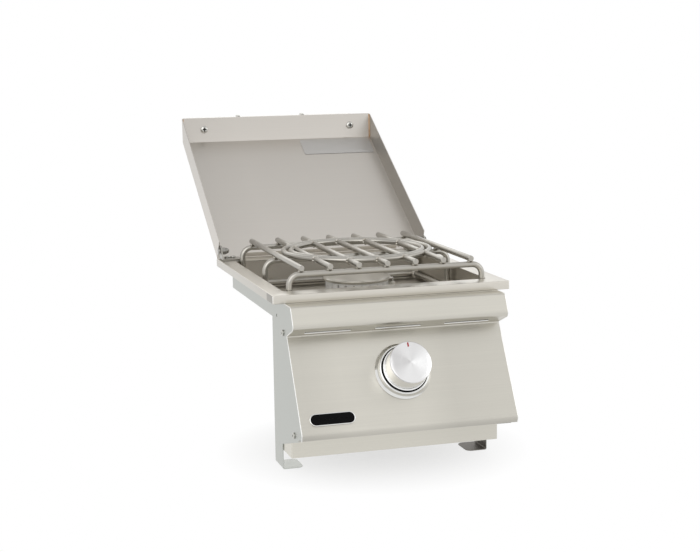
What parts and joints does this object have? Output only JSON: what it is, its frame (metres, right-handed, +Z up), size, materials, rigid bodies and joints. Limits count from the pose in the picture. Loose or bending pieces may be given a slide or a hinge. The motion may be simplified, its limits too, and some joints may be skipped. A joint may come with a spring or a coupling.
{
  "type": "built-in side burner",
  "caption": "Drop-in gas side burner for an outdoor kitchen: rim-hung steel box, pan burner under a rod grate, slanted control panel with knob, hinged lid with bar handle.",
  "frame": {"origin": "the middle of the rear rest face under the rim, which sits on the counter", "axes": "+X to the right seen from the front, +Y to the back, +Z up"},
  "size_m": [0.3308, 0.7702, 0.4431],
  "materials": {
    "brushed": "straight brushed stainless sheet",
    "pan": "brushed stainless, darker in the pan",
    "rods": "satin stainless rod with bright welds",
    "screws": "bright stainless",
    "polished": "polished",
    "plate_black": "glossy black, blank",
    "index_red": "red paint",
    "brass": "machined",
    "igniter": "moulded",
    "casting": "as cast",
    "ceramic": "glazed ceramic",
    "wire": "silicone sleeve",
    "foil": "matt foil, blank"
  },
  "bodies": {
    "housing": {"top_rim": "brushed", "burner_pan": "pan", "side_plate_left": "brushed", "side_plate_right": "brushed", "rear_panel": "brushed", "fascia": "brushed", "lower_apron": "brushed", "fascia_screw_left_upper": "screws", "fascia_screw_left_lower": "screws", "fascia_screw_right_upper": "screws", "fascia_screw_right_lower": "screws", "nameplate": "plate_black", "knob_bezel": "polished", "valve_body": "brass", "valve_bracket": "brushed", "piezo_igniter": "igniter", "orifice": "brass", "venturi_tube": "brushed", "gas_pipe": "brushed", "inlet_fitting": "brass", "burner_base": "casting", "burner_drum": "rods", "burner_cap": "rods", "burner_screw_left": "screws", "burner_screw_right": "screws", "electrode_insulator": "ceramic", "electrode_tip": "rods", "electrode_bracket": "brushed", "ignition_wire": "wire", "hinge_bracket_left": "brushed", "hinge_bracket_right": "brushed", "pivot_bolt_left": "screws", "pivot_bolt_right": "screws", "cap_nut_left": "screws", "cap_nut_right": "screws", "hinge_screw_left_outer": "screws", "hinge_screw_left_inner": "screws", "hinge_screw_right_outer": "screws", "hinge_screw_right_inner": "screws"},
    "lid": {"lid_shell": "brushed", "data_plate": "foil", "handle_tube": "polished", "handle_post_left": "polished", "handle_post_right": "polished", "handle_screw_left": "screws", "handle_screw_right": "screws"},
    "valve_shaft": {"valve_plug": "brass"},
    "knob": {"valve_stem": "brass", "knob_body": "polished", "knob_index": "index_red"},
    "grate": {"grate_support_front": "rods", "grate_support_middle": "rods", "grate_support_rear": "rods", "grate_rod_left": "rods", "grate_rod_right": "rods", "grate_outer_ring": "rods"},
    "grate_centre": {"grate_inner_ring": "rods"},
    "shutter": {"air_shutter": "brushed"}
  },
  "joints": [
    {"name": "lid_hinge", "type": "hinge", "parent": "housing", "child": "lid", "pos_m": [0, -0.0111, 0.0249], "axis": [-1, 0, 0], "range_deg": [-148.45, 0]},
    {"name": "knob_turn", "type": "hinge", "parent": "housing", "child": "valve_shaft", "pos_m": [0, -0.38372, -0.09403], "axis": [0, -0.8639, 0.5036], "range_deg": [0, 180]},
    {"name": "knob_push", "type": "slide", "parent": "valve_shaft", "child": "knob", "axis": [0, 0.8639, -0.5036], "range_m": [0, 0.004], "stiffness_N_per_m": 1500, "springref_m": -0.003},
    {"name": "grate_lift", "type": "slide", "parent": "housing", "child": "grate", "axis": [0, 0, 1], "range_m": [0, 0.06]},
    {"name": "grate_centre_lift", "type": "slide", "parent": "grate", "child": "grate_centre", "axis": [0, 0, 1], "range_m": [0, 0.03]},
    {"name": "air_shutter_turn", "type": "hinge", "parent": "housing", "child": "shutter", "pos_m": [0, -0.317, -0.1005], "axis": [0, 1, 0], "range_deg": [0, 90]}
  ]
}
